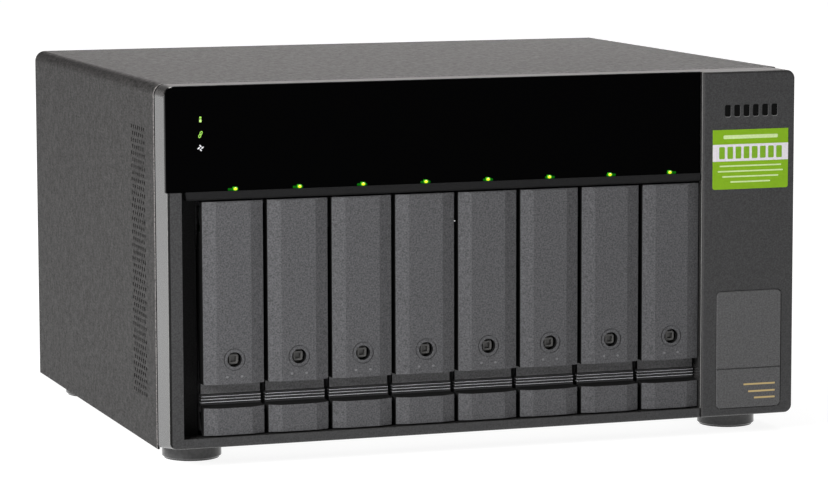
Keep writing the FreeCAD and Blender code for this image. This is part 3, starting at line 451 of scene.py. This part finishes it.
def pillar_badge():
    """Generic dark dashes high on the pillar, each with a painted highlight along its lower edge so that it
    reads as engraved.
    """
    dark = printed("badge_dark", (0.003, 0.003, 0.003), 0.05)
    # Painted highlight: a light copy of each dash, set a little right and low, shows as a lit lower edge.
    light = printed("badge_painted_highlight", (0.20, 0.20, 0.20))
    low, high = 163.3 * MM, 169.3 * MM
    left, right = 124.9 * MM, 155.7 * MM
    count = 6
    step = (right - left) / count
    dashes, edges = [], []
    for i in range(count):
        x = left + (i + 0.5) * step
        dashes.append(rounded(x, (low + high) / 2, 0.62 * step, high - low, 0.9 * MM))
        edges.append(rounded(x + 0.15 * MM, (low + high) / 2 - 0.3 * MM, 0.62 * step, high - low, 0.9 * MM))
    plates("badge_highlight_edges", "root", light, edges, FRONT, PRINT)
    plates("badge_dashes", "root", dark, dashes, FRONT, 2 * PRINT)


def status_icons():
    """Lit symbols behind the window: stacked disks, a chain link and a fan."""
    x, face = -147.2 * MM, WINDOW_LOW.y
    bright = Look("icon_bright", (0.02, 0.05, 0.0), 0.4, 0.1).glow((0.66, 1.0, 0.30), 1.0)
    dim = Look("icon_dim", (0.02, 0.05, 0.0), 0.4, 0.1).glow((0.40, 0.80, 0.13), 1.0)
    pale = Look("icon_pale", (0.05, 0.05, 0.05), 0.4, 0.1).glow((0.80, 0.80, 0.84), 1.0)
    plates("icon_disk_low", "root", bright,
           [rounded(x, 169.4 * MM, 1.15 * MM, 1.45 * MM, 0.35 * MM)], face, PRINT)
    plates("icon_disk_high", "root", dim,
           [rounded(x, 170.95 * MM, 1.05 * MM, 1.0 * MM, 0.3 * MM)], face, PRINT)
    tilt, links = math.radians(-25), []
    for side in (-1, 1):
        cx, cz = x - side * 0.75 * MM * math.sin(tilt), 162.8 * MM + side * 0.75 * MM * math.cos(tilt)
        links.append((oval(cx, cz, 1.35 * MM, 2.1 * MM, tilt), oval(cx, cz, 0.55 * MM, 1.3 * MM, tilt)))
    rings("icon_link", "root", dim, links, face, PRINT)
    blades = []
    for turn in range(4):
        angle = math.radians(5 + 90 * turn)
        blades.append(oval(x + 0.95 * MM * math.cos(angle), 156.3 * MM + 0.95 * MM * math.sin(angle),
                           1.45 * MM, 0.72 * MM, angle + 0.6))
    plates("icon_fan", "root", pale, blades, face, PRINT)


def tray_marks():
    """Two small pale marks low on each handle."""
    pale = printed("mark_pale", (0.155, 0.155, 0.16))
    for k, (low, high) in enumerate(HANDLES, 1):
        middle = (low.x + high.x) / 2
        places = (middle - 3.7 * MM, middle + 3.7 * MM)
        marks = [oval(x, 44.4 * MM, 1.35 * MM, 1.15 * MM, steps=20) for x in places]
        plates(f"handle_{k}_marks", f"handle_{k}", pale, marks, low.y, PRINT)


def lamp_cores():
    """Lit cores of the eight drive lamps, brightest in the middle of each lens, with a painted glint on each
    lens and painted glow spilling from each lamp onto the window.
    """
    yellow = Look("lamp_yellow", (0.05, 0.05, 0.0), 0.4, 0.1).glow((1.0, 1.0, 0.02), 1.0)
    # Painted highlight: a small white glint above each lamp's core.
    white = Look("lamp_painted_glint", (0.05, 0.05, 0.05), 0.4, 0.1).glow((1.0, 1.0, 0.85), 1.0)
    # Painted light: green glow laid on the window's face beside each lamp, as its light spilling into the
    # window.
    spill_paint = Look("lamp_painted_spill", (0.0, 0.01, 0.0), 0.5, 0.1).glow((0.0, 0.11, 0.0), 1.0)
    first, last = FIRST_LAMP_X, LENS_HIGH.x - 1.2 * MM
    face, z = LENS_LOW.y, (LENS_LOW.z + 0.85 * MM)
    cores, glints, spill_patches = [], [], []
    for i in range(TRAY_COUNT):
        x = first + i * (last - first) / 7
        cores.append(oval(x, z - 0.02 * MM, 1.75 * MM, 1.45 * MM))
        glints.append(oval(x + 0.05 * MM, z + 0.50 * MM, 0.6 * MM, 0.42 * MM))
        left, right = (2.5 - 2.1 * i / 7) * MM, (0.3 + 2.0 * i / 7) * MM
        width = 2.4 * MM + left + right
        spill_patches.append(rounded(x + (right - left) / 2, z - 0.25 * MM, width, 1.15 * MM, 0.45 * MM))
    plates("lamp_cores", "root", yellow, cores, face, PRINT)
    plates("lamp_glints", "root", white, glints, face, 2 * PRINT)
    plates("lamp_painted_spills", "root", spill_paint, spill_patches, WINDOW_LOW.y, PRINT)


LOOKS["lens_green"].glow((0.02, 0.42, 0.0), 1.0)
label_print()
plate_print()
pillar_badge()
status_icons()
tray_marks()
lamp_cores()


# ---------------------------------------------------------------- camera
CAMERA_PLACE = Vector((-0.599, -1.7718, 0.3155))
YAW, PITCH, ROLL = 0.330, 0.123, -0.0026
LENS_LENGTH, SENSOR = 153.869565, 36.0


def camera():
    forward = Vector((math.sin(YAW) * math.cos(PITCH), math.cos(YAW) * math.cos(PITCH), -math.sin(PITCH)))
    level = Vector((math.cos(YAW), -math.sin(YAW), 0))
    rise = level.cross(forward)
    right = level * math.cos(ROLL) + rise * math.sin(ROLL)
    up = rise * math.cos(ROLL) - level * math.sin(ROLL)
    data = bpy.data.cameras.new("camera")
    data.sensor_width = SENSOR
    data.lens = LENS_LENGTH
    data.clip_start, data.clip_end = 0.01, 100
    obj = bpy.data.objects.new("camera", data)
    obj.matrix_world = Matrix.Translation(CAMERA_PLACE) @ Matrix((right, up, -forward)).transposed().to_4x4()
    bpy.context.scene.collection.objects.link(obj)
    bpy.context.scene.camera = obj


camera()


# ---------------------------------------------------------------- floor, lamps and world
def stage_floor():
    """A pale floor: as seen and as mirrored it is near white, with a faint shadow around the object."""
    half = 14.0
    corners = [(-half, -half, 0), (half, -half, 0), (half, half, 0), (-half, half, 0)]
    mesh = bpy.data.meshes.new("floor")
    mesh.from_pydata(corners, [], [(0, 1, 2, 3)])
    obj = bpy.data.objects.new("floor", mesh)
    bpy.context.scene.collection.objects.link(obj)
    material = bpy.data.materials.new("floor")
    material.use_nodes = True
    tree = material.node_tree
    tree.nodes.clear()
    add = tree.nodes.new
    out, mix, total = add("ShaderNodeOutputMaterial"), add("ShaderNodeMixShader"), add("ShaderNodeAddShader")
    matt, shown, white = add("ShaderNodeBsdfDiffuse"), add("ShaderNodeBsdfDiffuse"), add("ShaderNodeEmission")
    path, either, any_of = add("ShaderNodeLightPath"), add("ShaderNodeMath"), add("ShaderNodeMath")
    either.operation = any_of.operation = "MAXIMUM"
    place, away, reach = add("ShaderNodeTexCoord"), add("ShaderNodeVectorMath"), add("ShaderNodeMapRange")
    away.operation = "LENGTH"
    for key, number in (("From Min", 0.22), ("From Max", 0.40), ("To Min", 0.90), ("To Max", 1.0)):
        reach.inputs[key].default_value = number
    matt.inputs["Color"].default_value = (0.80, 0.80, 0.80, 1)
    shown.inputs["Color"].default_value = (0.22, 0.22, 0.22, 1)
    link = tree.links.new
    link(place.outputs["Object"], away.inputs[0])
    link(away.outputs["Value"], reach.inputs["Value"])
    link(reach.outputs[0], white.inputs["Strength"])
    link(path.outputs["Is Camera Ray"], either.inputs[0])
    link(path.outputs["Is Glossy Ray"], either.inputs[1])
    link(either.outputs[0], any_of.inputs[0])
    link(path.outputs["Is Transmission Ray"], any_of.inputs[1])
    link(shown.outputs[0], total.inputs[0])
    link(white.outputs[0], total.inputs[1])
    link(any_of.outputs[0], mix.inputs["Fac"])
    link(matt.outputs[0], mix.inputs[1])
    link(total.outputs[0], mix.inputs[2])
    link(mix.outputs[0], out.inputs["Surface"])
    mesh.materials.append(material)


def lamp(name, place, target, size, power, colour=(1, 1, 1)):
    data = bpy.data.lights.new(name, "AREA")
    data.shape = "RECTANGLE"
    data.size, data.size_y = size
    data.energy = power
    data.color = colour
    obj = bpy.data.objects.new(name, data)
    obj.location = place
    obj.rotation_mode = "QUATERNION"
    obj.rotation_quaternion = (Vector(target) - Vector(place)).to_track_quat("-Z", "Y")
    obj.visible_camera = False
    bpy.context.scene.collection.objects.link(obj)


def studio_world():
    """Bright near the horizon, dim higher up."""
    world = bpy.data.worlds.new("studio")
    bpy.context.scene.world = world
    world.use_nodes = True
    tree = world.node_tree
    back = next(n for n in tree.nodes if n.type == "BACKGROUND")
    where, split = tree.nodes.new("ShaderNodeTexCoord"), tree.nodes.new("ShaderNodeSeparateXYZ")
    ramp = tree.nodes.new("ShaderNodeValToRGB")
    stops = [(0.0, 0.4), (0.14, 0.4), (0.24, 0.05), (1.0, 0.05)]
    ramp.color_ramp.elements[0].position = stops[0][0]
    ramp.color_ramp.elements[1].position = stops[-1][0]
    for position, _ in stops[1:-1]:
        ramp.color_ramp.elements.new(position)
    for element, (_, level) in zip(ramp.color_ramp.elements, stops):
        element.color = (level, 0.955 * level, 0.945 * level, 1)
    tree.links.new(where.outputs["Generated"], split.inputs[0])
    tree.links.new(split.outputs["Z"], ramp.inputs["Fac"])
    tree.links.new(ramp.outputs["Color"], back.inputs["Color"])


stage_floor()
studio_world()
lamp("key", (-1.15, -0.72, 0.72), (0, 0, 0.09), (0.6, 0.6), 29)
lamp("top", (0.1, 0.1, 2.2), (0, 0, 0.1), (1.4, 1.4), 24)
lamp("rear", (0.9, 2.0, 0.75), (0, 0, 0.18), (1.6, 0.5), 10.5, (1.0, 0.965, 0.955))

bpy.context.scene.view_settings.view_transform = "Standard"
